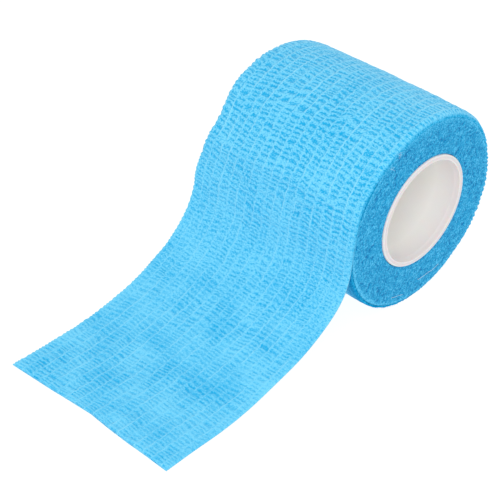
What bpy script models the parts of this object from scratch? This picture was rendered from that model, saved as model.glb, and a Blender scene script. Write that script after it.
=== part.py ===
"""A roll of cohesive bandage: a crinkled tape wound on a plastic core, with its loose end laid out.

Frame: the roll's axis runs along X, AXIS_HEIGHT above the surface it rests on. The origin lies on
the small flat spot under the roll, below the middle of that axis. The loose end comes down the
roll's front and runs out along the surface towards -Y.
"""

import math
from collections import namedtuple

import bmesh
import bpy
import numpy as np

MM = 0.001

# The tape and the roll that it makes
TAPE_WIDTH = 50.0 * MM
TAPE_THICKNESS = 1.0 * MM
ROLL_RADIUS = 26.6 * MM
AXIS_HEIGHT = 26.2 * MM  # less than the radius, so that the roll's own weight gives it a flat spot
SHOULDER = 1.2 * MM  # how round the roll's outer edges are
CLEARANCE = 0.3 * MM  # the gap between pieces that touch on the real roll

# The core
CORE_RADIUS = 15.5 * MM
CORE_LENGTH = 50.4 * MM
BORE_RADIUS = 13.9 * MM
MOUTH_RADIUS = 14.2 * MM  # the bore is this wide for MOUTH_DEPTH at each end
MOUTH_DEPTH = 1.2 * MM
MOUTH_SLOPE = 0.4 * MM
CORE_OUTER_ROUND = 0.3 * MM
CORE_INNER_ROUND = 0.2 * MM

# The loose end, from where it starts on the front of the roll
LAP_START = math.radians(60)  # angles are measured up from the front of the roll
LAP_END = math.radians(24)
LAP_ROWS = 6
NEAR_WIDENING = 1.0 * MM  # the tape is wider where it lies slack than where it is wound
FAR_WIDENING = 0.3 * MM
WIDENING_FROM = 0.3  # the share of the loose end's rows above which it keeps its wound width
CUTTER_OVERHANG = 2.0 * MM

# Where the middle of the tape's thickness runs once it leaves the roll, one row for each station
# down the loose end: how far in front of the roll's axis and how high above the surface its
# near edge (+X) and its far edge (-X) are, in millimetres.
Station = namedtuple("Station", "near_out near_up far_out far_up")
LOOSE_STATIONS = (
    Station(25.7, 31.4, 26.7, 31.8),
    Station(26.7, 26.0, 28.4, 27.0),
    Station(27.6, 21.0, 29.9, 22.0),
    Station(29.3, 16.8, 32.2, 17.5),
    Station(32.4, 12.9, 35.8, 13.0),
    Station(37.0, 9.6, 40.3, 9.4),
    Station(43.0, 6.6, 45.8, 6.4),
    Station(49.6, 4.2, 52.0, 4.0),
    Station(56.4, 2.4, 58.8, 2.0),
    Station(63.3, 1.0, 65.5, 0.9),
    Station(70.2, 0.5, 72.5, 0.5),
    Station(78.3, 0.5, 80.7, 0.5),
    Station(86.5, 0.5, 89.0, 0.5),
)

TURN_STEPS = 96  # facets round the core and round the roll
ROUND_STEPS = 3  # facets along a rounded edge
ROWS_PER_STATION = 4
COLUMNS = 10


def clear_scene():
    for item in list(bpy.data.objects):
        bpy.data.objects.remove(item, do_unlink=True)


def new_collection(name):
    collection = bpy.data.collections.new(name)
    bpy.context.scene.collection.children.link(collection)
    return collection


def new_object(name, mesh, collection):
    item = bpy.data.objects.new(name, mesh)
    collection.objects.link(item)
    return item


def new_material(name, colour, roughness, sheen=0.0):
    material = bpy.data.materials.new(name)
    material.use_nodes = True
    shader = material.node_tree.nodes["Principled BSDF"]
    shader.inputs["Base Color"].default_value = (*colour, 1.0)
    shader.inputs["Roughness"].default_value = roughness
    shader.inputs["Metallic"].default_value = 0.0
    shader.inputs["Sheen Weight"].default_value = sheen
    return material


def rounded_corner(centre_r, centre_x, radius, start, end):
    """Points along a quarter circle, from the angle start to the angle end in degrees."""
    angles = np.radians(np.linspace(start, end, ROUND_STEPS + 1))
    return [(centre_r + radius * math.cos(a), centre_x + radius * math.sin(a)) for a in angles]


def both_ends(lower_half):
    """A closed outline whose upper half mirrors the lower one."""
    return lower_half + [(r, -x) for r, x in reversed(lower_half)]


def core_outline():
    """(radius, place along the axis): a thin tube with round edges and a slightly wider mouth."""
    end = -CORE_LENGTH / 2
    outer, inner = CORE_OUTER_ROUND, CORE_INNER_ROUND
    lower = rounded_corner(CORE_RADIUS - outer, end + outer, outer, 0, -90)
    lower += rounded_corner(MOUTH_RADIUS + inner, end + inner, inner, -90, -180)
    lower.append((MOUTH_RADIUS, end + MOUTH_DEPTH))
    lower.append((BORE_RADIUS, end + MOUTH_DEPTH + MOUTH_SLOPE))
    return both_ends(lower)


def roll_outline():
    """(radius, place along the axis): the wound turns round the core, soft at the outer edges."""
    end = -TAPE_WIDTH / 2
    lower = rounded_corner(ROLL_RADIUS - SHOULDER, end + SHOULDER, SHOULDER, 0, -90)
    lower.append((CORE_RADIUS + CLEARANCE, end))
    return both_ends(lower)


def turned(name, outline, collection):
    """The closed outline turned about the roll's axis."""
    count = len(outline)
    mesh = bpy.data.meshes.new(name)
    points = [(r, 0.0, x) for r, x in outline]
    mesh.from_pydata(points, [(i, (i + 1) % count) for i in range(count)], [])
    item = new_object(name, mesh, collection)
    item.rotation_euler = (0.0, math.pi / 2, 0.0)  # turns the outline's own Z axis onto X
    item.location = (0.0, 0.0, AXIS_HEIGHT)
    screw = item.modifiers.new("turn", "SCREW")
    screw.axis = "Z"
    screw.angle = math.tau
    screw.steps = TURN_STEPS
    screw.render_steps = TURN_STEPS
    screw.use_merge_vertices = True
    screw.merge_threshold = 0.001 * MM
    screw.use_smooth_shade = True
    return item


def smooth_curve(knots, per_span):
    """A Catmull-Rom curve through the knots, with per_span points to each stretch between two."""
    knots = np.asarray(knots)
    first = 2 * knots[0] - knots[1]
    last = 2 * knots[-1] - knots[-2]
    padded = np.vstack([first, knots, last])
    t = np.linspace(0.0, 1.0, per_span, endpoint=False)[:, None]
    spans = []
    for a, b, c, d in zip(padded, padded[1:], padded[2:], padded[3:]):
        bend = (2 * a - 5 * b + 4 * c - d) * t**2 + (3 * (b - c) + d - a) * t**3
        spans.append(0.5 * (2 * b + (c - a) * t + bend))
    return np.vstack(spans + [knots[-1]])


def edge_curve(side):
    """One edge of the tape as (out, up) points: the lap round the roll, then the free stations."""
    radius = ROLL_RADIUS - TAPE_THICKNESS / 2
    angles = np.linspace(LAP_START, LAP_END, LAP_ROWS)
    knots = [(radius * math.cos(a), AXIS_HEIGHT + radius * math.sin(a)) for a in angles]
    for station in LOOSE_STATIONS:
        row = station._asdict()
        knots.append((row[side + "_out"] * MM, row[side + "_up"] * MM))
    curve = smooth_curve(knots, ROWS_PER_STATION)
    curve[:, 1] = np.maximum(curve[:, 1], TAPE_THICKNESS / 2)
    return curve


def smooth_step(value):
    """0 up to a value of 0 and 1 from a value of 1, with no corner at either."""
    value = min(max(value, 0.0), 1.0)
    return value * value * (3.0 - 2.0 * value)


def tape_surface(name, collection, overhang=0.0, run_on=0.0):
    """The middle of the tape's thickness, ruled straight across from one edge curve to the other.

    overhang widens it past both edges, and run_on carries it further up over the lap's start.
    """
    near, far = edge_curve("near"), edge_curve("far")
    for edge in (near, far):
        edge[0] += (edge[0] - edge[1]) / np.linalg.norm(edge[0] - edge[1]) * run_on
    rows = len(near)
    bm = bmesh.new()
    bmesh.ops.create_grid(bm, x_segments=COLUMNS, y_segments=rows - 1, size=0.5)
    for vertex in bm.verts:
        across = vertex.co.x + 0.5
        along = vertex.co.y + 0.5
        row = round(along * (rows - 1))
        out, up = far[row] + (near[row] - far[row]) * across
        slack = smooth_step((along - WIDENING_FROM) / (1.0 - WIDENING_FROM))
        near_side = TAPE_WIDTH / 2 + NEAR_WIDENING * slack + overhang
        far_side = -TAPE_WIDTH / 2 - FAR_WIDENING * slack - overhang
        vertex.co = (far_side + (near_side - far_side) * across, -out, up)
    mesh = bpy.data.meshes.new(name)
    bm.to_mesh(mesh)
    bm.free()
    mesh.shade_smooth()
    return new_object(name, mesh, collection)


def thicken(item, thickness):
    shell = item.modifiers.new("thickness", "SOLIDIFY")
    shell.thickness = thickness
    shell.offset = 0.0
    shell.use_even_offset = True


def as_cutter(item):
    item.hide_render = True
    item.display_type = "WIRE"
    return item


def floor_cutter(collection):
    """A box whose top is the surface that the roll rests on."""
    size = 4 * ROLL_RADIUS
    bm = bmesh.new()
    bmesh.ops.create_cube(bm, size=size)
    bmesh.ops.translate(bm, vec=(0.0, 0.0, -size / 2), verts=bm.verts)
    mesh = bpy.data.meshes.new("floor_cutter")
    bm.to_mesh(mesh)
    bm.free()
    return as_cutter(new_object("floor_cutter", mesh, collection))


def lap_cutter(collection):
    """The loose end made thicker and wider, which clears a bed for it in the roll's front."""
    item = tape_surface("lap_cutter", collection, overhang=CUTTER_OVERHANG, run_on=CLEARANCE)
    thicken(item, TAPE_THICKNESS + 2 * CLEARANCE)
    return as_cutter(item)


def cut(item, cutter):
    boolean = item.modifiers.new(cutter.name, "BOOLEAN")
    boolean.operation = "DIFFERENCE"
    boolean.solver = "EXACT"
    boolean.object = cutter


def make_core(collection, plastic):
    core = turned("core", core_outline(), collection)
    core.data.materials.append(plastic)


def make_wound_roll(collection, cutters, tape):
    roll = turned("wound_roll", roll_outline(), collection)
    roll.data.materials.append(tape)
    cut(roll, floor_cutter(cutters))
    cut(roll, lap_cutter(cutters))


def make_loose_end(collection, tape):
    loose_end = tape_surface("loose_end", collection)
    loose_end.data.materials.append(tape)
    thicken(loose_end, TAPE_THICKNESS)


def main():
    clear_scene()
    parts = new_collection("cohesive_bandage_roll")
    cutters = new_collection("cutters")
    plastic = new_material("white_core_plastic", (0.84, 0.83, 0.81), 0.35)
    wound_tape = new_material("wound_tape", (0.03, 0.33, 0.66), 0.9, sheen=0.2)
    loose_tape = new_material("loose_tape", (0.09, 0.52, 0.90), 0.9, sheen=0.2)
    make_core(parts, plastic)
    make_wound_roll(parts, cutters, wound_tape)
    make_loose_end(parts, loose_tape)


main()
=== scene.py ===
# %% [markdown]
# # A roll of cohesive bandage
#
# The object is a crinkled, stretchy tape wound on a white plastic tube, with its loose end rolled
# out in front. Nothing on it is hard except the tube, so nearly all of its look is cloth: thin
# elastic threads run along the tape, and the cloth puckers between them.
#
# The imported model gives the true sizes. This lesson reads them from it, and builds finer pieces
# in the same places: the tape itself, the wound turns with their felt-like ends, and the tube.

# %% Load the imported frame
import math
from collections import namedtuple

import bpy
import numpy as np
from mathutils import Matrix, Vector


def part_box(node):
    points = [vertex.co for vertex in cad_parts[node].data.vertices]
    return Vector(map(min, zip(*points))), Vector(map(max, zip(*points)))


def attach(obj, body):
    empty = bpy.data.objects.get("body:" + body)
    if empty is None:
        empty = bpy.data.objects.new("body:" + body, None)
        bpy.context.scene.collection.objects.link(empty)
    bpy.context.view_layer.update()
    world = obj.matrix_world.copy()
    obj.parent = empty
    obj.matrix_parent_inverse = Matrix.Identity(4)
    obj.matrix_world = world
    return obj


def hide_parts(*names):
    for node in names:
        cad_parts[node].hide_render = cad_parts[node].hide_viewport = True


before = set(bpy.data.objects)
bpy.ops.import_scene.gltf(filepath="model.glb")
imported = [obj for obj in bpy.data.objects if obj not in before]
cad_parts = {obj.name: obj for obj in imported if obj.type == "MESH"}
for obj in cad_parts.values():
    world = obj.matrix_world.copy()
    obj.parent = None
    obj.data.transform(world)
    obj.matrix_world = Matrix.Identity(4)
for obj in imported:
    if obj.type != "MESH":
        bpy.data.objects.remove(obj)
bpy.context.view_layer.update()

# %% [markdown]
# ## Sizes read from the frame
#
# All lengths of the object are in millimetres, because a tape well under a millimetre thick is
# easier to think about that way. They are turned into metres where a mesh is made. The roll's
# axis runs along X. "Out" is how far in front of that axis a point lies, which is towards -Y, and
# "up" is its height above the surface that the roll stands on.

# %% Sizes read from the frame
MM = 0.001
CORE_INSET = 0.2  # how much slimmer the fine tube is than its CAD body


def corners(node):
    """The lowest and the highest corner of a CAD node, in millimetres."""
    low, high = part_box(node)
    return np.array(low) / MM, np.array(high) / MM


roll_low, roll_high = corners("wound_roll")
core_low, core_high = corners("core")
ROLL_RADIUS = roll_high[1]
AXIS_HEIGHT = roll_high[2] - ROLL_RADIUS
TAPE_WIDTH = roll_high[0] - roll_low[0]
CORE_RADIUS = (core_high[2] - core_low[2]) / 2 - CORE_INSET
CORE_LENGTH = core_high[0] - core_low[0]
print(f"roll radius {ROLL_RADIUS:.2f}, axis {AXIS_HEIGHT:.2f} up, tape {TAPE_WIDTH:.2f} wide, "
      f"core radius {CORE_RADIUS:.2f}")

# %% [markdown]
# ## Soft numbers
#
# Cloth is never regular, so every pattern below is bent a little by smooth random numbers. A
# lattice of random numbers with a soft blend between neighbours is the simplest such noise. It is
# worked out for whole arrays at once, and its seed is fixed, so each run gives the same cloth.

# %% Smooth steps and smooth noise
LATTICE = 256


def smooth_step(x):
    """0 up to x = 0, 1 from x = 1, and 3x^2 - 2x^3 between."""
    x = np.clip(x, 0.0, 1.0)
    return x * x * (3.0 - 2.0 * x)


def blend(a, b, share):
    """a where share is 0, b where it is 1, and a + (b - a) * share between."""
    return a + (b - a) * share


def lattice_at(column, row, seed):
    """The random number from -1 to 1 that belongs to a whole column and a whole row."""
    lattice = np.random.default_rng(seed).uniform(-1.0, 1.0, (LATTICE, LATTICE))
    return lattice[np.asarray(column).astype(int) % LATTICE, np.asarray(row).astype(int) % LATTICE]


def smooth_noise(x, y, seed):
    """From -1 to 1: the four random numbers round (x, y), blended by smooth_step of the part past
    the whole number, first along x and then along y."""
    column, row = np.floor(x), np.floor(y)
    share_x, share_y = smooth_step(x - column), smooth_step(y - row)
    low = blend(lattice_at(column, row, seed), lattice_at(column + 1, row, seed), share_x)
    high = blend(lattice_at(column, row + 1, seed), lattice_at(column + 1, row + 1, seed), share_x)
    return blend(low, high, share_y)


def chance(column, row, seed):
    """A random number from 0 to 1 for each whole pair, with nothing smooth between pairs."""
    return 0.5 + 0.5 * lattice_at(column, row, seed)


print("noise at (0.5, 0.5):", smooth_noise(np.array(0.5), np.array(0.5), 1).round(4))

# %% [markdown]
# ## From a grid to a piece
#
# A grid of points becomes a mesh when each four neighbours are joined by a face. Working the
# faces out from the grid's own numbering keeps the loops out of Python. A piece can also carry a
# UV map and named numbers at its points, such as how strongly the cloth is puckered there, because
# the finishes read them later.

# %% Turn grids of points into pieces
def grid_quads(rows, columns, closed_across, closed_along=False):
    """Four corners a, b, c, d for each cell of a grid whose points are numbered row by row. A
    closed direction also joins its last line of points to its first."""
    number = np.arange(rows * columns).reshape(rows, columns)
    if closed_across:
        number = np.hstack([number, number[:, :1]])
    if closed_along:
        number = np.vstack([number, number[:1]])
    a, b = number[:-1, :-1], number[:-1, 1:]
    d, c = number[1:, :-1], number[1:, 1:]
    return np.stack([a, b, c, d], axis=-1).reshape(-1, 4)


def enclosed_volume(mesh):
    """The volume in cubic metres, above zero when the faces point outwards: a sixth of the sum
    over all triangles of a . (b x c)."""
    mesh.calc_loop_triangles()
    corner = np.empty(len(mesh.loop_triangles) * 3, np.int32)
    mesh.loop_triangles.foreach_get("vertices", corner)
    place = np.empty(len(mesh.vertices) * 3, np.float32)
    mesh.vertices.foreach_get("co", place)
    a, b, c = place.reshape(-1, 3)[corner.reshape(-1, 3)].astype(float).transpose(1, 0, 2)
    return float(np.einsum("ij,ij->i", a, np.cross(b, c)).sum() / 6.0)


def new_piece(name, points, faces, finish, uv=None, **named_numbers):
    """A smooth-shaded mesh object from points in millimetres. uv holds two numbers and each named
    array one number for every point."""
    mesh = bpy.data.meshes.new(name)
    mesh.from_pydata((np.asarray(points).reshape(-1, 3) * MM).tolist(), [], faces)
    if enclosed_volume(mesh) < 0.0:
        mesh.flip_normals()
    mesh.shade_smooth()
    if uv is not None:
        corner = np.empty(len(mesh.loops), np.int32)
        mesh.loops.foreach_get("vertex_index", corner)
        layer = mesh.uv_layers.new(name="along_and_across")
        layer.uv.foreach_set("vector", uv.reshape(-1, 2)[corner].astype(np.float32).ravel())
    for title, numbers in named_numbers.items():
        attribute = mesh.attributes.new(title, "FLOAT", "POINT")
        attribute.data.foreach_set("value", numbers.astype(np.float32).ravel())
    mesh.materials.append(finish)
    piece = bpy.data.objects.new(name, mesh)
    bpy.context.scene.collection.objects.link(piece)
    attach(piece, "root")
    print(f"{name}: {len(mesh.loop_triangles)} triangles, {enclosed_volume(mesh) * 1e6:.2f} cm3")
    return piece


# %% [markdown]
# ## A finish is a small graph of nodes
#
# Every finish below is a Principled shader with a few nodes in front of it. This short class
# keeps the graphs readable: a node is made in one line, and what feeds it is named there.

# %% A helper for finishes
class Finish:
    """A material with a Principled shader, and a short way to add nodes in front of it."""

    def __init__(self, name, roughness, **constant):
        self.material = bpy.data.materials.new(name)
        self.material.use_nodes = True
        self.tree = self.material.node_tree
        self.shader = self.tree.nodes["Principled BSDF"]
        self.shader.inputs["Roughness"].default_value = roughness
        for socket, value in constant.items():
            self.shader.inputs[socket.replace("_", " ")].default_value = value

    def node(self, kind, settings=(), **feeds):
        """A new node. settings are its own properties, and feeds are values or sockets for its
        inputs, where a name in lower case with an underscore stands for a number, as in_0."""
        made = self.tree.nodes.new("ShaderNode" + kind)
        for key, value in dict(settings).items():
            setattr(made, key, value)
        for key, value in feeds.items():
            place = int(key[3:]) if key.startswith("in_") else key.replace("_", " ")
            if isinstance(value, bpy.types.NodeSocket):
                self.tree.links.new(value, made.inputs[place])
            else:
                made.inputs[place].default_value = value
        return made

    def math(self, operation, a, b=0.0):
        """One number from two."""
        return self.node("Math", {"operation": operation}, in_0=a, in_1=b).outputs[0]

    def plus(self, a, b):
        """a + b."""
        return self.math("ADD", a, b)

    def minus(self, a, b):
        """a - b."""
        return self.math("SUBTRACT", a, b)

    def times(self, a, b):
        """a * b."""
        return self.math("MULTIPLY", a, b)

    def off_whole(self, a):
        """How far a lies from the nearest whole number."""
        return self.math("ABSOLUTE", self.minus(a, self.math("ROUND", a)))

    def mix(self, share, a, b):
        """Colour a where share is 0 or less, and colour b where it is 1 or more."""
        return self.node("Mix", {"data_type": "RGBA"}, in_0=share, in_6=a, in_7=b).outputs[2]

    def soft_step(self, value, low, high):
        """0 below low, 1 above high, and smooth between."""
        settings = {"interpolation_type": "SMOOTHSTEP"}
        return self.node("MapRange", settings, in_0=value, in_1=low, in_2=high).outputs[0]

    def spread(self, share, low, high):
        """A number that is low where share is 0 and high where it is 1."""
        return self.node("MapRange", in_0=share, in_3=low, in_4=high).outputs[0]

    def attribute(self, title):
        """A number that new_piece stored at the mesh's points."""
        return self.node("Attribute", {"attribute_name": title}).outputs["Fac"]

    def noise(self, place, scale, roughness=0.5):
        """Smooth noise round 0, with scale blobs to each unit of place."""
        made = self.node("TexNoise", Vector=place, Scale=scale, Detail=1.0, Roughness=roughness)
        return self.minus(made.outputs["Fac"], 0.5)

    def feed(self, socket, value):
        """Joins a value to a socket of the shader."""
        self.tree.links.new(value, self.shader.inputs[socket])

    def bump(self, height, distance, strength):
        """Shading relief: height is in units of distance, which is in metres."""
        made = self.node("Bump", Height=height, Distance=distance, Strength=strength)
        return made.outputs["Normal"]


def linear(red, green, blue):
    """A colour named by its screen values from 0 to 255, as the shader wants it:
    ((v + 0.055) / 1.055)^2.4 for each v above 0.04."""
    screen = np.array([red, green, blue]) / 255.0
    light = np.where(screen > 0.04, ((screen + 0.055) / 1.055) ** 2.4, screen / 12.92)
    return (*light.tolist(), 1.0)


# %% [markdown]
# ## Felted edges
#
# Where many edges of the tape lie side by side, or where one was rubbed, the fibres stand up and
# make a deeper blue felt. Its colour is a level from 0 to 1 with two sizes of grain in it, and
# the level is stored with the mesh, because it follows the shape. The same deep colours also
# paint shade: the loose end's shadow on the turn below it, and the shade in pits and gaps of the
# roll's ends.

# %% The colour of felt
FELT_DEEP = linear(2, 113, 170)
FELT_BLUE = linear(10, 148, 199)
FELT_PALE = linear(82, 187, 230)


def felt_colour(finish, level):
    """Deep blue where the level is 0, the felt's own blue at a half, and pale at 1."""
    double = finish.times(level, 2.0)
    return finish.mix(finish.minus(double, 1.0), finish.mix(double, FELT_DEEP, FELT_BLUE), FELT_PALE)


def felt_grain(finish, level):
    """The stored level plus fine grain and coarser tufts."""
    place = finish.node("TexCoord").outputs["Object"]
    grain = finish.times(finish.noise(place, 2600.0, 0.6), 2.0)
    tufts = finish.times(finish.noise(place, 700.0), 0.4)
    return finish.plus(level, finish.plus(grain, tufts))


# %% [markdown]
# ## The crinkled cloth
#
# The cloth is one sky blue, but it looks different high and low. The crests of the puckers catch
# the light and show pale fibres, while light that falls into a furrow bounces from blue to blue
# and comes out deeper. A furrow's edges are sharper than the mesh is fine, so the mesh only says
# how many ripples have passed, how strong each furrow is and how far it reaches. The finish draws
# the furrows from that. The elastic threads are thin pale lines, drawn from the UV map: its first
# number is the distance from the cut in thread pitches, and its second counts threads across.

# %% Furrows as light and dark
TAUT_FROM = 10.0  # where the tape begins to tighten towards the roll, in thread pitches
TAUT_OVER = 16.0


def furrow_level(tape, uv, along, column):
    """How light the cloth is. A furrow is dark where the ripples passed are near a whole number,
    and ends where the distance from the strip's middle is more than its reach. Crests half way
    between two furrows are lighter. Noise roughens the furrows' outlines, finer noise, longer
    across than along, makes the small wrinkles of the fibres, and slow noise shades wide areas of
    the slack cloth more than of the wound one."""
    rough = tape.noise(uv, 5.0)
    past = tape.off_whole(tape.plus(tape.attribute("ripples"), tape.times(rough, 0.62)))
    beside = tape.minus(tape.math("FRACT", column), 0.5)
    beyond = tape.minus(tape.math("ABSOLUTE", beside), tape.attribute("reach"))
    beyond = tape.plus(beyond, tape.times(rough, 0.4))
    dark = tape.minus(1.0, tape.soft_step(past, 0.05, 0.34))
    dark = tape.times(dark, tape.soft_step(beyond, 0.08, -0.08))
    dark = tape.times(dark, tape.attribute("strength"))
    crest = tape.times(tape.soft_step(past, 0.36, 0.5), 0.24)
    taut = tape.soft_step(along, TAUT_FROM, TAUT_FROM + TAUT_OVER)
    longer = tape.node("Mapping", in_0=uv, in_3=(1.5, 0.8, 1.0)).outputs[0]
    wrinkles = tape.times(tape.noise(longer, 6.0), tape.spread(taut, 1.45, 2.9))
    areas = tape.times(tape.noise(uv, 0.28), tape.spread(taut, 1.2, 0.45))
    lightness = tape.spread(taut, 0.7, 0.74)
    for change in (crest, wrinkles, areas):
        lightness = tape.plus(lightness, change)
    return tape.minus(lightness, dark)


# %% Finish: crinkled tape
DEEP_BLUE = linear(4, 162, 215)
PALE_BLUE = linear(110, 201, 235)
THREAD_BLUE = linear(150, 215, 238)


def tape_finish():
    """Colour = deep to pale with the furrows, with threads laid over it and felt towards the
    wound edges, where the deep felt colour also paints the loose end's shadow on the turn below it.
    Gloss is low, with a little sheen from the fibres, and felt has neither; the two plain values
    stand where a format can't carry the links."""
    tape = Finish("crinkled_tape", 0.85, Sheen_Weight=0.2, Specular_IOR_Level=0.2)
    uv = tape.node("UVMap", {"uv_map": "along_and_across"}).outputs["UV"]
    counted = tape.node("SeparateXYZ", in_0=uv)
    along, column = counted.outputs["X"], counted.outputs["Y"]
    level = furrow_level(tape, uv, along, column)
    line = tape.soft_step(tape.off_whole(column), 0.06, 0.015)
    line = tape.times(line, tape.attribute("thread"))
    threaded = tape.mix(line, tape.mix(level, DEEP_BLUE, PALE_BLUE), THREAD_BLUE)
    # the felt share also carries the painted shadow on the turn below the loose end
    felted = tape.attribute("felt")
    felt = felt_colour(tape, felt_grain(tape, tape.attribute("tone")))
    tape.feed("Base Color", tape.mix(felted, threaded, felt))
    tape.feed("Sheen Weight", tape.spread(felted, 0.2, 0.0))
    tape.feed("Specular IOR Level", tape.spread(felted, 0.2, 0.0))
    tape.feed("Normal", tape.bump(level, 0.00008, 0.8))
    return tape.material


tape_blue = tape_finish()

# %% [markdown]
# ## The route of the tape
#
# Seen from the side, the tape is one long line. It starts at the cut, runs along the surface,
# climbs the roll's front, goes over the top and down the back, and passes under the roll to the
# front again, where the next turn in shows beside the loose end. The turns are a spiral: each
# full turn lies one pitch nearer to the axis.
#
# The free stretch has no formula, so it is a short table of stations, one curve for each edge.
# The two edges differ a little, since the tape leaves the roll slightly askew.

# %% Stations of the loose end
TAPE_THICKNESS = 0.62
TURN_PITCH = 0.6
LEAVES_AT = 24.0  # degrees above the front of the roll
HIDDEN_AT = 402.0  # where the route ends, out of sight under the lap
ARC_STEP = 6.0
SKEW = 1.2  # how much further forward the roll's far end stands than its near end
NEAR_SWELL = 0.2  # and how much wider the near end is wound
PER_SPAN = 40  # points of the route between two knots

Station = namedtuple("Station", "near_out near_up far_out far_up")
STATIONS = (
    Station(25.9, 31.4, 26.8, 31.8),
    Station(26.8, 26.0, 28.6, 27.0),
    Station(27.7, 21.0, 30.0, 22.0),
    Station(29.5, 16.8, 32.3, 17.5),
    Station(32.6, 12.9, 35.9, 13.0),
    Station(37.0, 9.6, 40.3, 9.4),
    Station(43.0, 6.6, 45.8, 6.4),
    Station(49.6, 4.2, 52.0, 4.0),
    Station(56.4, 2.4, 58.8, 2.0),
    Station(63.3, 1.1, 65.5, 0.9),
    Station(70.2, 0.55, 72.5, 0.5),
    Station(78.3, 0.4, 80.7, 0.4),
    Station(87.6, 0.4, 90.1, 0.4),
)


def turn_radius(degrees):
    """Radius of the middle of the tape's thickness: half a thickness inside the roll's radius at
    the back of the roll, and a pitch less for each full turn further in."""
    turns = (degrees - 180.0) / 360.0
    return ROLL_RADIUS - TAPE_THICKNESS / 2 - TURN_PITCH * turns


def lean(x):
    """How much further forward the roll stands at x than at its near end: skew * (1/2 - x / w)."""
    return SKEW * (0.5 - x / TAPE_WIDTH)


def smooth_curve(knots, per_span):
    """A Catmull-Rom curve: between knots b and c, with a before and d after,
    (2b + (c - a)t + (2a - 5b + 4c - d)t^2 + (3b - 3c + d - a)t^3) / 2."""
    padded = np.vstack([2 * knots[0] - knots[1], knots, 2 * knots[-1] - knots[-2]])[:, None, :]
    a, b, c, d = padded[:-3], padded[1:-2], padded[2:-1], padded[3:]
    t = np.linspace(0.0, 1.0, per_span, endpoint=False)[None, :, None]
    bend = (2 * a - 5 * b + 4 * c - d) * t**2 + (3 * (b - c) + d - a) * t**3
    spans = 0.5 * (2 * b + (c - a) * t + bend)
    return np.vstack([spans.reshape(-1, knots.shape[1]), knots[-1:]])


def tape_route():
    """Columns near_out, near_up, far_out, far_up, from the cut inwards: the stations, then points
    on the spiral, out = r cos(angle) and up = axis + r sin(angle), joined by a smooth curve."""
    degrees = np.arange(LEAVES_AT, HIDDEN_AT + ARC_STEP / 2, ARC_STEP)
    radius, angle = turn_radius(degrees), np.radians(degrees)
    heading = np.stack([np.cos(angle), np.sin(angle)])
    near, far = heading * (radius + NEAR_SWELL), heading * radius
    wound = np.column_stack([near[0], AXIS_HEIGHT + near[1], far[0] + SKEW, AXIS_HEIGHT + far[1]])
    return smooth_curve(np.vstack([np.array(STATIONS)[::-1], wound]), PER_SPAN)


route = tape_route()
middle = (route[:, 0:2] + route[:, 2:4]) / 2
steps = np.linalg.norm(np.diff(middle, axis=0), axis=1)
route_length = np.concatenate([[0.0], np.cumsum(steps)])
roll_lengths = route_length[PER_SPAN * len(STATIONS):]
roll_angles = LEAVES_AT + np.arange(len(roll_lengths)) * ARC_STEP / PER_SPAN
LOOSE_LENGTH = roll_lengths[0]
print(f"the tape's route is {route_length[-1]:.1f} mm, of which {LOOSE_LENGTH:.1f} mm is loose")


# %% [markdown]
# ## Where a point of the tape lies
#
# A place on the tape has two coordinates. The first is how far it is from the cut, and the second
# counts elastic threads across the tape, so that thread number 5 is at 5.0 however it wanders.
# The edges lie a little past the first and the last thread. Threads wander together over a few
# millimetres, and near the edges they keep straight.

# %% Coordinates on the tape
THREADS = 17
THREAD_PITCH = 2.9
FAR_MARGIN = 3.1  # from the far edge to the first thread
NEAR_MARGIN = 1.85
FLAT_WIDTH = FAR_MARGIN + (THREADS - 1) * THREAD_PITCH + NEAR_MARGIN
FAR_EDGE = -FAR_MARGIN / THREAD_PITCH
NEAR_EDGE = THREADS - 1 + NEAR_MARGIN / THREAD_PITCH


def roll_angle(along):
    """The angle of the roll, in degrees, that the tape passes at a distance from the cut."""
    return np.interp(along, roll_lengths, roll_angles)


def along_at(degrees):
    """How far from the cut the tape passes an angle of the roll."""
    return np.interp(degrees, roll_angles, roll_lengths)


def wound_share(along):
    """0 on the loose end and 1 on the roll, changing over the last stretch before the roll."""
    return smooth_step((along - (LOOSE_LENGTH - 22.0)) / 26.0)


def edge_distance(column):
    """Millimetres to the nearer edge."""
    return np.minimum(column - FAR_EDGE, NEAR_EDGE - column) * THREAD_PITCH


def across_share(along, column):
    """0 at the far edge and 1 at the near one. Threads are a pitch apart, plus what they wander:
    slow noise that neighbours share, and quick noise of each thread's own, where the puckers
    push it to and fro. Both fade out towards the edges."""
    inner = smooth_step((column - FAR_EDGE) / 2.0) * smooth_step((NEAR_EDGE - column) / 2.0)
    wander = 0.38 * smooth_noise(along / 15.0, column / 5.0, 21)
    wander = wander + 0.12 * smooth_noise(along / 6.0, column / 1.3, 22)
    wander = wander + 0.17 * smooth_noise(along / 0.85, column, 29)
    return (FAR_MARGIN + column * THREAD_PITCH + wander * inner) / FLAT_WIDTH


print(f"threads run from column 0 to {THREADS - 1}, edges at {FAR_EDGE:.2f} and {NEAR_EDGE:.2f}")

# %% [markdown]
# The edges are not straight. The tape is wider where it lies slack, and it narrows sharply where
# it leaves the roll, which shows as a notch in the far edge with a bulge just below it.

# %% From the tape to the world
NEAR_WIDENING = 1.0
FAR_WIDENING = 0.3
EDGE_INSET = 0.1  # how far inside the CAD roll's ends the wound edges lie
EDGE_WAVER = 0.16
NOTCH_DEPTH = 1.3
BULGE = 0.8


def bell(x, middle, width):
    """1 at the middle and 0 far from it: exp(-((x - middle) / width)^2)."""
    return np.exp(-(((x - middle) / width) ** 2))


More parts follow.
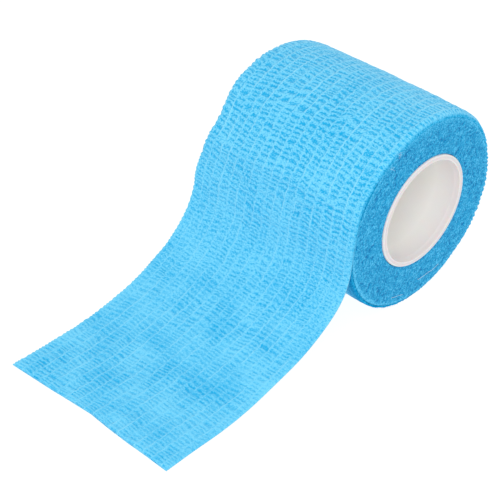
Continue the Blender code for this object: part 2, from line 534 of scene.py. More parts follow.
def edge_places(along):
    """X of the near and of the far edge: half the width, more where the tape is slack, with a
    notch in the far edge where it leaves the roll, in the outer turn and in the one under it, and
    a gentle waver in both."""
    slack = 1.0 - wound_share(along)
    past = along - LOOSE_LENGTH
    turn = along_at(LEAVES_AT + 360.0) - LOOSE_LENGTH
    notch = NOTCH_DEPTH * (bell(past, 6.0, 6.0) + bell(past, turn + 5.0, 7.0))
    notch = notch - BULGE * bell(past, -9.0, 6.0)
    half = TAPE_WIDTH / 2 - EDGE_INSET
    near = half + NEAR_WIDENING * slack + EDGE_WAVER * smooth_noise(along / 9.0, 0.5, 23)
    far = -half - FAR_WIDENING * slack + EDGE_WAVER * smooth_noise(along / 8.0, 0.5, 24) + notch
    return near, far


def lay_on_route(along, column, rise, nudge=0.0):
    """World points in millimetres. The edges' places along the route are blended across, each
    point is raised from there at right angles to the tape by rise, and nudge moves it in X."""
    share = across_share(along, column)
    near, far = edge_places(along)
    spots = [np.interp(along, route_length, route[:, i]) for i in range(4)]
    slope = np.gradient(route, route_length, axis=0)
    slopes = [np.interp(along, route_length, slope[:, i]) for i in range(4)]
    out, up = blend(spots[2], spots[0], share), blend(spots[3], spots[1], share)
    out_slope, up_slope = blend(slopes[2], slopes[0], share), blend(slopes[3], slopes[1], share)
    size = np.hypot(out_slope, up_slope)
    out, up = out + rise * up_slope / size, up - rise * out_slope / size
    return np.stack([blend(far, near, share) + nudge, -out, up], axis=-1)


near_at_cut, far_at_cut = edge_places(np.array(0.0))
print(f"the tape is {near_at_cut - far_at_cut:.2f} mm wide at the cut")

# %% [markdown]
# ## The crinkle
#
# The elastic threads shrink the tape after it is made, and the cloth between two threads puckers
# into short cross furrows. Each strip between threads has its own furrows, roughly in step with
# its neighbours'. A furrow is narrow, its depth differs from the next one's, it leans or bows a
# little, and it often stops short of the thread. In some patches the cloth has been pulled flat.

# %% Furrows between the threads
LOOSE_RIPPLE = 1.18
WOUND_RIPPLE = 1.42
FURROW_WIDTH = 0.21  # as a share of a ripple
FINE_STEP = 0.05

fine_steps = np.arange(0.0, route_length[-1] + 1.0, FINE_STEP)
ripple_length = blend(LOOSE_RIPPLE, WOUND_RIPPLE, wound_share(fine_steps))
ripple_count = np.cumsum(FINE_STEP / ripple_length)


def patch_share(along, column):
    """How strongly the cloth is puckered here: noise over a few strips, weaker on the loose end."""
    patch = smooth_step(0.75 + 0.8 * smooth_noise(along / 10.0, column / 3.4, 19))
    wound = wound_share(along)
    return blend(blend(0.68, 0.86, wound), 1.0, patch) * blend(0.56, 0.85, wound)


def furrows(along, column):
    """Three numbers for each point. Ripples passed since the cut, bent by each strip's own drift,
    lean and bow; the strength of the nearest furrow, from 0 to 1; and its reach to each side of
    the strip's middle, as a share of the strip."""
    strip = np.floor(column)
    beside = column - strip - 0.5
    ripples = np.interp(along, fine_steps, ripple_count)
    ripples = ripples + 0.8 * smooth_noise(along / 7.0, strip * 0.6, 11)
    ripples = ripples + 0.5 * smooth_noise(along / 2.6, strip * 7.3, 12)
    ripples = ripples + 0.26 * smooth_noise(along / 1.25, strip * 5.3, 33)
    ripples = ripples + 0.6 * smooth_noise(along / 6.0, strip * 3.1, 13) * beside
    bow = 0.5 + 1.2 * smooth_noise(along / 8.0, strip * 4.7, 14)
    ripples = ripples + bow * (beside**2 - 0.08)
    number = np.rint(ripples)
    least = blend(0.45, 0.64, wound_share(along))
    strength = blend(least, 1.0, chance(number, strip, 15)) * patch_share(along, column)
    held = blend(0.3, 1.0, smooth_step((edge_distance(column) - 0.3) / 1.2))
    reach = 0.3 + 0.17 * chance(number, strip, 16)
    return ripples, strength * held, reach


def furrow_depth(column, ripples, strength, reach):
    """0 on smooth cloth and up to 1 in a deep furrow: exp(-(d / width)^2) with d the ripples to
    the nearest whole number, times the strength, fading out at the ends of its reach."""
    beside = column - np.floor(column) - 0.5
    across = smooth_step((reach - np.abs(beside)) / 0.16 + 0.5)
    return strength * across * bell(ripples, np.rint(ripples), FURROW_WIDTH)


def thread_share(along, column):
    """How plainly the nearest elastic thread shows, from 0 to 1: it comes and goes along its
    length. There is no thread outside the first and the last."""
    number = np.clip(np.rint(column), 0, THREADS - 1)
    shown = 0.5 + 0.6 * smooth_noise(along / 8.0, number * 5.7, 20)
    shown = smooth_step(shown + 0.5 * smooth_noise(along / 1.3, number * 3.9, 28))
    return blend(0.12, 1.0, shown) * blend(0.7, 1.0, wound_share(along))


sample_along, sample_column = np.meshgrid(np.linspace(0, 200, 900), np.linspace(0, 16, 300))
sample_depth = furrow_depth(sample_column, *furrows(sample_along, sample_column))
print("mean furrow depth:", sample_depth.mean().round(3))

# %% [markdown]
# ## The section across the tape
#
# A section across the tape is a closed loop: along the upper side from the far edge to the near
# one, round the edge, and back along the under side. The upper side has most of its points near
# the threads, where the cloth bends sharply.

# %% The section across the tape
WITHIN_STRIP = (0.0, 0.07, 0.21, 0.4, 0.6, 0.79, 0.93)
FAR_POINTS = FAR_EDGE + np.array([0.02, 0.06, 0.13, 0.27, 0.45, 0.65, 0.83, 0.96])
NEAR_POINTS = NEAR_EDGE - np.array([0.52, 0.4, 0.27, 0.16, 0.08, 0.03])
UNDER_POINTS = np.concatenate([[FAR_EDGE + 0.02], np.linspace(FAR_EDGE, NEAR_EDGE, 9)[1:-1],
                               [NEAR_EDGE - 0.02]])

strips = (np.arange(THREADS - 1)[:, None] + np.array(WITHIN_STRIP)).ravel()
upper = np.concatenate([FAR_POINTS, strips, [THREADS - 1.0, THREADS - 1 + 0.07], NEAR_POINTS])
section = np.concatenate([[FAR_EDGE], upper, [NEAR_EDGE], UNDER_POINTS[::-1]])
side = np.concatenate([[0.0], np.ones(len(upper)), [0.0], -np.ones(len(UNDER_POINTS))])
on_near_half = section > THREADS / 2
print(f"{len(section)} points round the section, {len(upper)} of them on the upper side")

# %% [markdown]
# ## The cut end
#
# The cut is a shallow hollow, not a straight line, so one flat face can't close it. Both sides of
# the tape follow the hollow, and a row of small triangles joins them.

# %% The line of the cut and the faces that close an end
CUT_BACK = 0.4
CUT_BOW = 0.62
CUT_NOTCH = 0.25
CUT_CORNER = 0.4


def cut_place(column):
    """How far along the route the cut lies: a small constant, plus a wide bell with a narrow one
    in it across the middle, less a bell at the far corner, which is drawn out. It is worked out
    at the columns of the under side, and is straight between them on both sides."""
    known = np.sort(UNDER_POINTS)
    share = (known - FAR_EDGE) / (NEAR_EDGE - FAR_EDGE)
    place = CUT_BACK + CUT_BOW * bell(share, 0.5, 0.25) + CUT_NOTCH * bell(share, 0.5, 0.1)
    place = place - CUT_CORNER * bell(share, 0.0, 0.18) + 0.12 * smooth_noise(known / 0.6, 0.0, 31)
    return np.interp(column, known, place)


def end_triangles():
    """Triangles that close an end of the strip: each step along the upper side is joined to the
    nearest point of the under side, and each step along the under side to the upper point there."""
    last = len(upper) + 1
    top = np.arange(last + 1)
    under = np.concatenate([[0], np.arange(len(section) - 1, last, -1), [last]])
    nearest = np.abs(section[top][:, None] - section[under][None, :]).argmin(axis=1)
    steps = np.stack([top[:-1], top[1:], under[nearest[:-1]]], axis=-1)
    moved = nearest[1:] > nearest[:-1]
    turns = np.stack([top[1:], under[nearest[1:]], under[nearest[:-1]]], axis=-1)[moved]
    both = np.vstack([steps, turns])
    return both[(both[:, 0] != both[:, 2]) & (both[:, 0] != both[:, 1])]


print(f"{len(end_triangles())} triangles close each end")

# %% [markdown]
# ## How the edges behave
#
# Where the tape is wound, its edges bend down a little towards the axis, which gives the roll its
# soft shoulders. The edges are also scalloped, because each furrow draws them in. At the far edge
# this shows all along. The near edge is almost straight, except at the back of the roll.

# %% The wound edges
SHOULDER = 1.9  # how much of each wound edge bends down
NEAR_DROP = 1.05
FAR_DROP = 0.75
LEAST_DROP = 0.05
NEAR_PLAY = 0.2  # how much of its play the near edge keeps where it is straight


def shoulder_drop(degrees, x_side):
    """How far a wound edge bends down: most over the top of the roll, where the outer turn has
    slackened, and hardly at all behind and below."""
    behind = smooth_step((degrees - 150.0) / 45.0)
    if x_side > 0:
        return blend(LEAST_DROP, NEAR_DROP, smooth_step((degrees - 30.0) / 40.0) * (1.0 - behind))
    top = blend(0.3, 1.0, smooth_step((degrees - 70.0) / 25.0))
    return blend(LEAST_DROP, FAR_DROP, top * (1.0 - behind))


def edge_drop(along, column):
    """What the wound edges lose in height: drop * (1 - e / shoulder)^2 at a distance e from the
    edge."""
    angle = roll_angle(along)
    drop = np.where(on_near_half, shoulder_drop(angle, 1), shoulder_drop(angle, -1))
    bent = np.clip(1.0 - edge_distance(column) / SHOULDER, 0.0, 1.0)
    return drop * wound_share(along) * bent**2


def edge_play(along):
    """How freely an edge waves: 1 on the far half, and on the near half only near the roll's
    back, where exp(-((angle - 175) / 45)^4) is near 1."""
    back = np.exp(-(((roll_angle(along) - 175.0) / 45.0) ** 4))
    return np.where(on_near_half, blend(NEAR_PLAY, 1.0, back), 1.0)


print(f"over the top the near edge drops {shoulder_drop(90.0, 1):.2f} mm, "
      f"the far edge {shoulder_drop(90.0, -1):.2f} mm")

# %% [markdown]
# ## The relief of the tape
#
# Everything that lifts or lowers the cloth is now added up, in one function: its thickness, the
# furrows and threads of its upper side, slow swellings, the bent edges with their scallops, and
# the pressed end of the cut.

# %% Add up the relief
TAPE_ROUND = 0.3  # radius of the edges
FURROW_DEPTH = 0.3
THREAD_HEIGHT = 0.08
THREAD_WIDTH = 0.12
SCALLOP = 0.09
CUT_PRESS = 0.7  # the share of its thickness that the tape has lost at the cut
BARREL = 0.35  # the outer turn stands this much higher in its middle than at its edges


def relief(along, column, ripples, depth):
    """Rise and nudge in millimetres. Rise = half the thickness, rounded at the upper edges as a
    quarter circle, plus noise, less the furrow's depth, plus the thread, less the drop of the
    wound edges and the pressing of the cut, plus a barrel 4 s (1 - s) with s the share across.
    The scallops follow the cosine of the ripples passed."""
    upside = side > 0.0
    wound = wound_share(along)
    from_edge = edge_distance(column)
    play = edge_play(along)
    rounded = np.sqrt(1.0 - (1.0 - np.clip(from_edge / TAPE_ROUND, 0.0, 1.0)) ** 2)
    rounded = np.where(side < 0.0, 1.0, rounded)
    thread = bell(column, np.rint(column), THREAD_WIDTH / THREAD_PITCH)
    thread = THREAD_HEIGHT * thread_share(along, column) * thread
    by_edge = 1.0 - smooth_step(from_edge / 1.2)
    swell = 0.1 * smooth_noise(along / 2.4, column / 1.1, 25)
    swell = swell + 0.2 * play * by_edge * wound * smooth_noise(along / 0.9, column * 0.2, 32)
    depth = depth * blend(1.0, play, wound * (1.0 - smooth_step((from_edge - 0.4) / 1.4)))
    rise = side * rounded * TAPE_THICKNESS / 2 + (swell - FURROW_DEPTH * depth) * (side >= 0.0)
    rise = rise + thread * upside - edge_drop(along, column)
    pressed = 1.0 - smooth_step(along / 0.8)
    rise = rise - CUT_PRESS * TAPE_THICKNESS * pressed * rounded * upside
    share = (column - FAR_EDGE) / (NEAR_EDGE - FAR_EDGE)
    rise = rise + BARREL * 4.0 * share * (1.0 - share) * wound
    scallop = SCALLOP * by_edge * blend(0.8, 1.0, wound) * np.cos(math.tau * ripples) * play
    rise = rise - scallop * (1.0 + 0.8 * smooth_noise(along / 2.3, column, 34))
    outwards = np.where(on_near_half, -1.0, 1.0)
    return rise, (0.2 * depth + scallop) * outwards * (1.0 - smooth_step(from_edge / 0.8))


# %% [markdown]
# ## The tape as a closed strip
#
# The section is carried along the route, one row every quarter of a millimetre or so. The rows
# near the cut are drawn back with it. Where the tape is wound its edges are felted over a hair's
# breadth of the outer turn. On the turn that shows below the loose end, a wide band of the same
# deep felt colour is painted shadow, the shade that the loose end casts there.

# %% Carry the section along the route
ROW_STEP = 0.285
UNDER_ROLL_AT = 268.0  # the angle at which the first strip ends and the second one starts
CUT_FADE = 2.5
FELT_REACH, FELT_TONE = 0.4, 0.72
# painted shadow: a wide, deep band on the near half of the turn below the loose end
SHADOW_BAND_REACH, SHADOW_BAND_TONE = 7.0, 0.4


def tape_strip(name, start, end):
    """The strip from one distance along the route to another. The cut's own line is added to the
    distance, fading as exp(-d / fade), and the relief is laid on the route there. Felt fades out
    over its reach from the edge. On the near half of the turn below the loose end, a wide reach
    and a deep tone paint the shadow that the loose end casts there."""
    rows = int(round((end - start) / ROW_STEP)) + 1
    along = np.linspace(start, end, rows)[:, None]
    column = section[None, :]
    ripples, strength, reach = furrows(along, column)
    rise, nudge = relief(along, column, ripples, furrow_depth(column, ripples, strength, reach))
    drawn = along + cut_place(column) * np.exp(-along / CUT_FADE)
    points = lay_on_route(drawn, column, rise, nudge)
    points[..., 2] = np.maximum(points[..., 2], 0.01)
    # Painted shadow: on the near half of the turn below the loose end, felt reaches far and takes a
    # deep tone.
    shadow_band = on_near_half & (along > along_at(UNDER_ROLL_AT))
    felt = 1.0 - smooth_step((edge_distance(column) - 0.05) / np.where(shadow_band, SHADOW_BAND_REACH, FELT_REACH))
    felt = np.clip(felt * wound_share(along) + (side < 0.0) * 0.35, 0.0, 1.0)
    uv = np.stack(np.broadcast_arrays(along / THREAD_PITCH, column), axis=-1)
    first = end_triangles()[:, ::-1]
    last = end_triangles() + (rows - 1) * len(section)
    faces = grid_quads(rows, len(section), closed_across=True).tolist()
    return new_piece(name, points, faces + first.tolist() + last.tolist(), tape_blue, uv,
                     ripples=ripples, strength=strength, reach=reach, felt=felt,
                     thread=0.6 * thread_share(along, column),
                     tone=np.where(shadow_band, SHADOW_BAND_TONE, FELT_TONE))


# %% [markdown]
# The tape is made as two strips that meet where the roll stands on the surface, so that the joint
# never shows. The first is the loose end with the turn it comes from, over the top and down the
# back. The second goes on from there and comes up the front as the next turn in.

# %% The loose end and the turn under it
meets_at = float(along_at(UNDER_ROLL_AT))
loose_tape = tape_strip("loose_tape", 0.0, meets_at)
under_turn = tape_strip("under_turn", meets_at, route_length[-1])
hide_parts("loose_end")

# %% [markdown]
# ## The wound turns
#
# Inside the outer turn there are about seventeen more. Only their edges show, packed side by side
# on the roll's two ends, where they look like felt with a faint spiral in it. One body stands for
# them all. Its end faces are polar grids: each ring is a share of the way from the core to the
# rim, and the rim itself follows the spiral, one pitch further in after each turn.

# %% Relief of the end faces
CORE_OFF = (-0.3, 0.25)  # the core sits this far out and up from the middle of the roll
GAPS = ((-35, 23.1), (-41, 22.5), (-49, 22.5), (-36, 24.0))  # small holes between slack turns, painted dark as shade


def face_relief(x_side, degrees, radius):
    """Relief of an end face in millimetres, and how pale it is from 0 to 1. The turns' edges make
    ridges: a cosine of the spiral's own count, radius / pitch + angle, that wavers and fades. Fine
    and coarse grains lie over them, and where the grain noise is highest there are pits, which,
    like the small gaps, are also painted darker as the shade that falls in them."""
    angle = np.radians(degrees)
    y, z = radius * np.cos(angle), radius * np.sin(angle)
    seed = 40 if x_side > 0 else 60
    count = radius / TURN_PITCH + degrees / 360.0 + 0.5 * smooth_noise(y / 4.0, z / 4.0, seed)
    ridge = np.cos(math.tau * count) * smooth_step(0.45 + 0.8 * smooth_noise(y / 3, z / 3, seed + 1))
    coarse = smooth_noise(y / 1.3, z / 1.3, seed + 2)
    fine = smooth_noise(y / 0.5, z / 0.5, seed + 3)
    pit_and_shade = smooth_step((smooth_noise(y / 0.55, z / 0.55, seed + 4) - 0.55) / 0.3)
    for at_degrees, at_radius in GAPS if x_side > 0 else ():
        at = math.radians(at_degrees)
        gap = bell(y, at_radius * math.cos(at), 0.3) * bell(z, at_radius * math.sin(at), 0.3)
        pit_and_shade = np.maximum(pit_and_shade, 1.6 * gap)
    lift = 0.03 * ridge + 0.03 * coarse + 0.05 * fine - 0.15 * pit_and_shade
    # pits and gaps are dented and also painted darker: painted shade in the hollows
    pale = 0.5 + 0.08 * ridge + 0.08 * coarse + 0.1 * fine - 0.55 * pit_and_shade
    return lift, pale


def body_point(x, degrees, radius):
    """World points of a place on the roll: out = r cos(angle), up = axis + r sin(angle), with the
    core's small offset added in full at the core and not at all at the rim."""
    angle = np.radians(degrees)
    inwards = np.clip((ROLL_RADIUS - radius) / (ROLL_RADIUS - CORE_RADIUS), 0.0, 1.0)
    x, out, up = np.broadcast_arrays(x, radius * np.cos(angle) + CORE_OFF[0] * inwards,
                                     radius * np.sin(angle) + CORE_OFF[1] * inwards)
    return np.stack([x, -out - lean(x), AXIS_HEIGHT + up], axis=-1)


# %% [markdown]
# The section of the body is again a closed loop, from the core outwards over the near face, round
# the shoulder, across under the tape, and back over the far face to the core. Both halves come
# from one function, and the far one is turned round.

# %% The wound turns as one closed body
AROUND = 480
FACE_RINGS = 62
FACE_PLACE = TAPE_WIDTH / 2 - 0.2
BODY_GAP = 0.04
CORE_FIT = 0.12
SHOULDER_PALE = 0.6
CREST_LIGHT_AT = -30.0  # painted highlight: the near face is paler by its rim round this angle, as a lit crest of the shoulder
CREST_LIGHT_SPAN = 36.0


def rim_radius(degrees):
    """Radius under the outermost tape at each angle: the turn's own radius less half a thickness.
    From LEAVES_AT on the loose end lies outside, and the body steps out over a few degrees."""
    full = turn_radius(degrees) - TAPE_THICKNESS / 2 - BODY_GAP
    inner = turn_radius(degrees + 360.0) - TAPE_THICKNESS / 2 - BODY_GAP
    return blend(inner, full, smooth_step((degrees - HIDDEN_AT + 360.0) / 8.0))


def body_side(x_side, degrees):
    """Points and paleness of one half, from the core to below the tape. A face ring's radius is
    the core's plus its share of the way to the rim. Its place is constant and runs out to the
    tape's edge over the last millimetres, plus the relief. The rings of the shoulder follow the
    bent edge: radius = rim - drop * (1 - b)^2 at a share b of the shoulder."""
    on_outer_turn = np.where(degrees < LEAVES_AT, degrees + 360.0, degrees)
    drop = shoulder_drop(on_outer_turn, x_side)
    rim = rim_radius(degrees) + (NEAR_SWELL if x_side > 0 else 0.0)
    inner = CORE_RADIUS + CORE_FIT
    rings = np.linspace(0.0, 1.0, FACE_RINGS)[None, :]
    radius = inner + (rim - drop - inner) * rings
    below = rim - drop - radius
    lift, pale = face_relief(x_side, degrees, radius)
    held = smooth_step(rings / 0.04) * smooth_step((1.0 - rings) / 0.04)
    turned = (degrees + 180.0) % 360.0 - 180.0
    # Painted highlight: the near face is paler within about a millimetre of its rim round this
    # angle, as a lit crest of the shoulder.
    slack = np.exp(-(((turned - CREST_LIGHT_AT) / CREST_LIGHT_SPAN) ** 4)) * (x_side > 0)
    pale = pale + 0.3 * slack * smooth_step((1.3 - below) / 0.8)
    pale = blend(pale, 0.86, 0.7 * smooth_step((1.5 - below) / 1.5) ** 2)
    near_edge, far_edge = edge_places(along_at(on_outer_turn))
    edge = (near_edge if x_side > 0 else -far_edge) - 0.03
    place = blend(FACE_PLACE, edge, smooth_step((6.0 - below) / 5.0))
    face = body_point(x_side * (place + lift * held), degrees, radius)
    bends = np.linspace(0.15, 1.0, 6)[None, :]
    shoulder = body_point(x_side * (edge - SHOULDER * bends), degrees,
                          rim - drop * (1.0 - bends) ** 2)
    shoulder_pale = np.full(shoulder.shape[:2], SHOULDER_PALE)
    return np.hstack([face, shoulder]), np.hstack([pale, shoulder_pale])


def wound_body():
    """The near half's points, then the far half's in reverse, all round the roll."""
    degrees = np.linspace(LEAVES_AT - 60.0, LEAVES_AT + 300.0, AROUND, endpoint=False)[:, None]
    near, near_pale = body_side(1, degrees)
    far, far_pale = body_side(-1, degrees)
    points = np.hstack([near, far[:, ::-1]])
    points[..., 2] = np.maximum(points[..., 2], 0.02)
    quads = grid_quads(AROUND, points.shape[1], closed_across=True, closed_along=True).tolist()
    return points, quads, np.hstack([near_pale, far_pale[:, ::-1]])


# %% [markdown]
# The faces' finish takes the paleness stored with the mesh, and adds the grain that is too fine
# for it. With the body made, the two strips can say what they rest on.

# %% Finish: felted tape edges
def felt_finish():
    """Colour follows the stored paleness with grain added, and the same grain gives the bump."""
    felt = Finish("felted_edges", 0.9, Sheen_Weight=0.05, Specular_IOR_Level=0.2)
    level = felt_grain(felt, felt.attribute("pale"))
    felt.feed("Base Color", felt_colour(felt, level))
    felt.feed("Normal", felt.bump(level, 0.00012, 0.7))
    return felt.material


body_points, body_quads, body_pale = wound_body()
wound_turns = new_piece("wound_turns", body_points, body_quads, felt_finish(), pale=body_pale)
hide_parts("wound_roll")

# %% [markdown]
# ## The core
#
# The core is a thin moulded tube of white plastic. Its end is a flat ring between a rounded outer
# edge and a fine raised bead round the mouth, a little greyer than the walls. Just inside the mouth
# the bore has painted shade, and deeper in it is painted whiter, as light against the shade there.
# It is turned: a profile of radius and place along the axis, repeated round it.

# %% The core's profile
BORE_RADIUS = CORE_RADIUS - 1.6
OUTER_ROUND = 0.32
BEAD_ROUND = 0.14
CORE_STEPS = 240


def arc(centre_r, centre_x, radius, start, end, count):
    """count points along a circle from start to end, in degrees, as (radius, x)."""
    angle = np.radians(np.linspace(start, end, count))
    return np.column_stack([centre_r + radius * np.cos(angle), centre_x + radius * np.sin(angle)])


def core_half():
    """Half of the profile, from the outer wall's middle over the end to the bore's middle, and
    how white each of its points is, from 0 on the end ring to 1 on the walls. Low values just
    inside the mouth paint shade there, and the rise to 1 by 7 mm in paints light into the bore."""
    end = CORE_LENGTH / 2
    outer_edge = arc(CORE_RADIUS - OUTER_ROUND, end - OUTER_ROUND, OUTER_ROUND, 0, 90, 7)
    dish = np.array([[CORE_RADIUS - 0.45, end - 0.01], [CORE_RADIUS - 0.55, end - 0.06]])
    flat = np.array([[CORE_RADIUS - 0.95, end - 0.07], [CORE_RADIUS - 1.02, end - 0.05]])
    bead = arc(CORE_RADIUS - 1.2, end - 0.12, BEAD_ROUND, 60, 190, 6)
    mouth = np.array([[CORE_RADIUS - 1.36, end - 0.5], [CORE_RADIUS - 1.37, end - 1.15],
                      [BORE_RADIUS + 0.02, end - 1.5], [BORE_RADIUS, end - 1.7],
                      [BORE_RADIUS, end - 7.0], [BORE_RADIUS, 0.0]])
    wall = np.array([[CORE_RADIUS, 0.0], [CORE_RADIUS, end - 1.0]])
    white = [1.0, 1.0] + [0.3] * len(outer_edge) + [0.0] * 4 + [0.3] * len(bead)
    # painted shade on the band just inside the mouth, then painted light: the bore whitens towards 7
    # mm in
    white += [0.25, 0.25, 0.3, 0.35, 1.0, 1.0]
    return np.vstack([wall, outer_edge, dish, flat, bead, mouth]), np.array(white)


def core_tube():
    """The profile and its mirror image, turned round the axis: (x, r) at each angle."""
    half, white = core_half()
    profile = np.vstack([half, (half * (1.0, -1.0))[-2:0:-1]])
    white = np.broadcast_to(np.concatenate([white, white[-2:0:-1]]), (CORE_STEPS, len(profile)))
    degrees = np.linspace(0.0, 360.0, CORE_STEPS, endpoint=False)[:, None]
    points = body_point(profile[None, :, 1], degrees, profile[None, :, 0])
    return points, grid_quads(CORE_STEPS, len(profile), True, True).tolist(), white


# %% Finish: white plastic
PLASTIC_WHITE = linear(241, 238, 235)
RING_GREY_AND_SHADE = linear(207, 202, 204)


def plastic_finish():
    """A warm white, greyer on the end ring, with painted shade just inside the mouth and painted
    light deeper in the bore, soft gloss and a very slight orange-peel surface."""
    plastic = Finish("white_core_plastic", 0.4, Subsurface_Weight=0.2, Subsurface_Scale=0.004,
                     Specular_IOR_Level=0.3)
    place = plastic.node("TexCoord").outputs["Object"]
    colour = plastic.mix(plastic.attribute("white"), RING_GREY_AND_SHADE, PLASTIC_WHITE)
    plastic.feed("Base Color", colour)
    plastic.feed("Normal", plastic.bump(plastic.noise(place, 900.0), 0.00002, 0.4))
    return plastic.material


core_points, core_quads, core_white = core_tube()
core = new_piece("core_tube", core_points, core_quads, plastic_finish(), white=core_white)
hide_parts("core")

# %% [markdown]
# ## Loose fibres
#
# The cloth is made of short fibres, so every cut or wound edge is a little hairy, and a few ends
# of elastic thread stand out of the roll's near face. Each fibre is a thin four-sided tube along
# a bent path, thinner towards its tip, and all fibres of one kind are joined in one mesh.

# %% Thin tubes and hairs
def tubes(paths, radii):
    """Quads round many paths at once. paths is fibres x stations x 3, and radii is fibres x
    stations. Each ring has four corners, path +- radius * side and path +- radius * over, where
    side and over are at right angles to the fibre's first step."""
    count, stations = paths.shape[:2]
    step = paths[:, 1] - paths[:, 0]
    across = np.cross(step, np.array([0.31, 0.52, 0.79]))
    across = across / np.linalg.norm(across, axis=1, keepdims=True)
    over = np.cross(step, across)
    over = over / np.linalg.norm(over, axis=1, keepdims=True)
    ring = np.stack([across, over, -across, -over], axis=1)[:, None]
    points = paths[:, :, None] + radii[:, :, None, None] * ring
    wall = grid_quads(stations, 4, closed_across=True)
    last = 4 * (stations - 1)
    ends = np.array([[3, 2, 1, 0], [last, last + 1, last + 2, last + 3]])
    one = np.vstack([wall, ends])
    quads = one[None] + 4 * stations * np.arange(count)[:, None, None]
    return points, quads.reshape(-1, 4)


def hairs(roots, directions, length, spread, curl, seed):
    """Paths that start at the roots, set off in the directions plus a random spread, and bend by
    a random curl that grows with the square of the share along the hair."""
    draw = np.random.default_rng(seed)
    share = np.linspace(0.0, 1.0, 5)[None, :, None]
    heading = directions + spread * draw.normal(size=roots.shape)
    heading = heading / np.linalg.norm(heading, axis=1, keepdims=True)
    size = (length * draw.uniform(0.4, 1.0, len(roots)))[:, None, None]
    bend = curl * draw.normal(size=roots.shape)[:, None]
    return roots[:, None] + size * (heading[:, None] * share + bend * share**2)


# %% Fibres on the edges
CUT_HAIRS = 520
RIM_HAIRS = 800
ROOT_RADIUS, TIP_RADIUS = 0.016, 0.005
FIBRE_BLUE = linear(60, 174, 222)
FIBRE_PALE = linear(140, 212, 240)


def edge_hairs():
    """Hairs along the cut edge, then on the two rims of the roll."""
    draw = np.random.default_rng(71)
    column = draw.uniform(FAR_EDGE + 0.1, NEAR_EDGE - 0.1, CUT_HAIRS)
    roots = lay_on_route(cut_place(column) + 0.1, column, draw.uniform(-0.15, 0.2, CUT_HAIRS))
    blocks = [hairs(roots, np.array([[0.0, -1.0, 0.15]]), 0.6, 0.5, 0.3, 72)]
    for x_side, edge, seed in ((1, NEAR_EDGE - 0.03, 73), (-1, FAR_EDGE + 0.03, 75)):
        along = draw.uniform(LOOSE_LENGTH, route_length[-1] - 2.0, RIM_HAIRS)
        drop = shoulder_drop(roll_angle(along), x_side)
        roots = lay_on_route(along, np.full(RIM_HAIRS, edge), 0.15 - drop)
        angle = np.radians(roll_angle(along))
        away = np.stack([np.full(RIM_HAIRS, 0.9 * x_side), -np.cos(angle), np.sin(angle)], axis=-1)
        blocks.append(hairs(roots, away, 0.5, 0.6, 0.35, seed))
    return np.concatenate(blocks)


def fibre_colour():
    """Paler at the cut than on the rims."""
    fibre = Finish("blue_fibre", 0.8, Specular_IOR_Level=0.2)
    fibre.feed("Base Color", fibre.mix(fibre.attribute("at_cut"), FIBRE_BLUE, FIBRE_PALE))
    return fibre.material


hair_paths = edge_hairs()
hair_paths[..., 2] = np.maximum(hair_paths[..., 2], 0.03)
hair_radii = np.linspace(ROOT_RADIUS, TIP_RADIUS, hair_paths.shape[1])
hair_points, hair_quads = tubes(hair_paths, np.tile(hair_radii, (len(hair_paths), 1)))
at_cut = np.zeros(hair_points.shape[:-1])
at_cut[:CUT_HAIRS] = 1.0
new_piece("edge_fibres", hair_points, hair_quads.tolist(), fibre_colour(), at_cut=at_cut)

# %% [markdown]
# Two ends of elastic thread lie on the near face, each along a part of a turn, and tufts of
# pulled fibre stand on the rim above them.

# %% Stray threads and tufts
STRAY_RADIUS = 0.042
TUFT_RADIUS = 0.016
STRAY_WHITE = linear(206, 228, 238)


def stray_thread(from_degrees, to_degrees, from_radius, to_radius, seed):
    """An arc on the near face between two angles and two radii, wavering by smooth noise."""
    share = np.linspace(0.0, 1.0, 30)
    waver = 0.16 * smooth_noise(share * 9.0, 0.0, seed)
    radius = blend(from_radius, to_radius, share) + waver
    lift = 0.12 + 0.07 * smooth_noise(share * 6.0, 3.5, seed)
    return body_point(FACE_PLACE + lift, blend(from_degrees, to_degrees, share), radius)


def tuft(degrees, radius, count, seed):
    """Curled hairs that all start within a third of a millimetre of one place on the rim."""
    draw = np.random.default_rng(seed)
    root = body_point(np.array([FACE_PLACE + 0.1]), np.array([degrees]), np.array([radius]))
    roots = root + 0.2 * draw.normal(size=(count, 3))
    return hairs(roots, np.array([[0.6, -0.3, 0.8]]), 0.45, 0.9, 0.9, seed + 1)


threads = np.stack([stray_thread(-92.9, -113.9, 22.2, 23.7, 81),
                    stray_thread(-67.5, -79.0, 23.9, 24.2, 82)])
tufts = np.concatenate([tuft(62.5, 25.6, 26, 91), tuft(54.0, 24.6, 16, 93)])
thread_points, thread_quads = tubes(threads, np.full(threads.shape[:2], STRAY_RADIUS))
tuft_points, tuft_quads = tubes(tufts, np.full(tufts.shape[:2], TUFT_RADIUS))
stray_finish = Finish("stray_thread", 0.6, Base_Color=STRAY_WHITE, Specular_IOR_Level=0.3)
new_piece("stray_threads", thread_points, thread_quads.tolist(), stray_finish.material)
new_piece("rim_tufts", tuft_points, tuft_quads.tolist(), stray_finish.material)

# %% [markdown]
# ## The floor, the light and the camera
#
# The roll stands on a plain white floor in very soft light: a bright even sky, with one large
# lamp above and in front so that the furrows have a lit side. The camera looks down at the near
# end and along the loose end.

# %% Floor
FLOOR_HALF = 1.5  # metres


def white_floor():
    """A square of white paper that glows a little, so that it stays plain behind the object."""
    corner = np.array([[-1.0, -1.0, 0.0], [1.0, -1.0, 0.0], [1.0, 1.0, 0.0], [-1.0, 1.0, 0.0]])
    mesh = bpy.data.meshes.new("floor")
    mesh.from_pydata((corner * FLOOR_HALF).tolist(), [], [[0, 1, 2, 3]])
    paper = Finish("white_paper", 0.9, Base_Color=(0.14, 0.14, 0.14, 1.0),
                   Emission_Color=(1.0, 1.0, 1.0, 1.0), Emission_Strength=0.92)
    mesh.materials.append(paper.material)
    floor = bpy.data.objects.new("floor", mesh)
    bpy.context.scene.collection.objects.link(floor)


white_floor()

# %% Light
SKY_STRENGTH = 1.0
LAMP_WATTS = 1.3


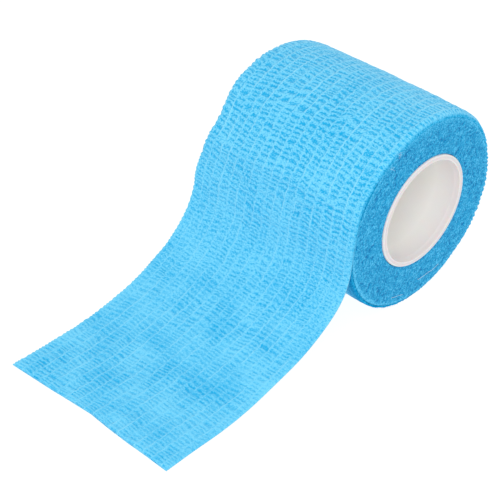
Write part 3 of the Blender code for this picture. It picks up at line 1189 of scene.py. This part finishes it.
def soft_light():
    """An even white sky and one round lamp half a metre across."""
    world = bpy.data.worlds.new("studio")
    world.use_nodes = True
    sky = world.node_tree.nodes["Background"]
    sky.inputs["Color"].default_value = (1.0, 1.0, 1.0, 1.0)
    sky.inputs["Strength"].default_value = SKY_STRENGTH
    bpy.context.scene.world = world
    lamp = bpy.data.lights.new("soft_lamp", "AREA")
    lamp.shape, lamp.size = "DISK", 0.5
    lamp.energy = LAMP_WATTS
    holder = bpy.data.objects.new("soft_lamp", lamp)
    holder.location = (0.3, -0.38, 0.43)
    holder.rotation_euler = (math.radians(52.0), 0.0, math.radians(40.0))
    bpy.context.scene.collection.objects.link(holder)


soft_light()
bpy.context.scene.view_settings.view_transform = "Standard"

# %% Camera
AZIMUTH = 43.69
ELEVATION = 38.18
TILT = 1.41
LENS = 104.2
AIM = np.array([-3.4, -31.4, 15.62])
DISTANCE = 360.0


def camera_axes():
    """The camera's right, up and back directions. Back points from the object to the camera, by
    azimuth and elevation, and the tilt turns right and up about it."""
    turn, rise, tilt = np.radians([AZIMUTH, ELEVATION, TILT])
    right = np.array([math.cos(turn), math.sin(turn), 0.0])
    level = math.cos(rise)
    back = np.array([math.sin(turn) * level, -math.cos(turn) * level, math.sin(rise)])
    up = np.cross(back, right)
    tilted_right = right * math.cos(tilt) + up * math.sin(tilt)
    return tilted_right, up * math.cos(tilt) - right * math.sin(tilt), back


def place_camera():
    """A long lens that looks at AIM from DISTANCE away."""
    right, up, back = camera_axes()
    camera = bpy.data.cameras.new("camera")
    camera.lens, camera.sensor_width = LENS, 36.0
    camera.clip_start, camera.clip_end = 0.01, 20.0
    holder = bpy.data.objects.new("camera", camera)
    matrix = np.eye(4)
    matrix[:3, :3] = np.column_stack([right, up, back])
    matrix[:3, 3] = (AIM + back * DISTANCE) * MM
    holder.matrix_world = matrix.T.tolist()
    bpy.context.scene.collection.objects.link(holder)
    bpy.context.scene.camera = holder
    print("camera at", matrix[:3, 3].round(4))


place_camera()
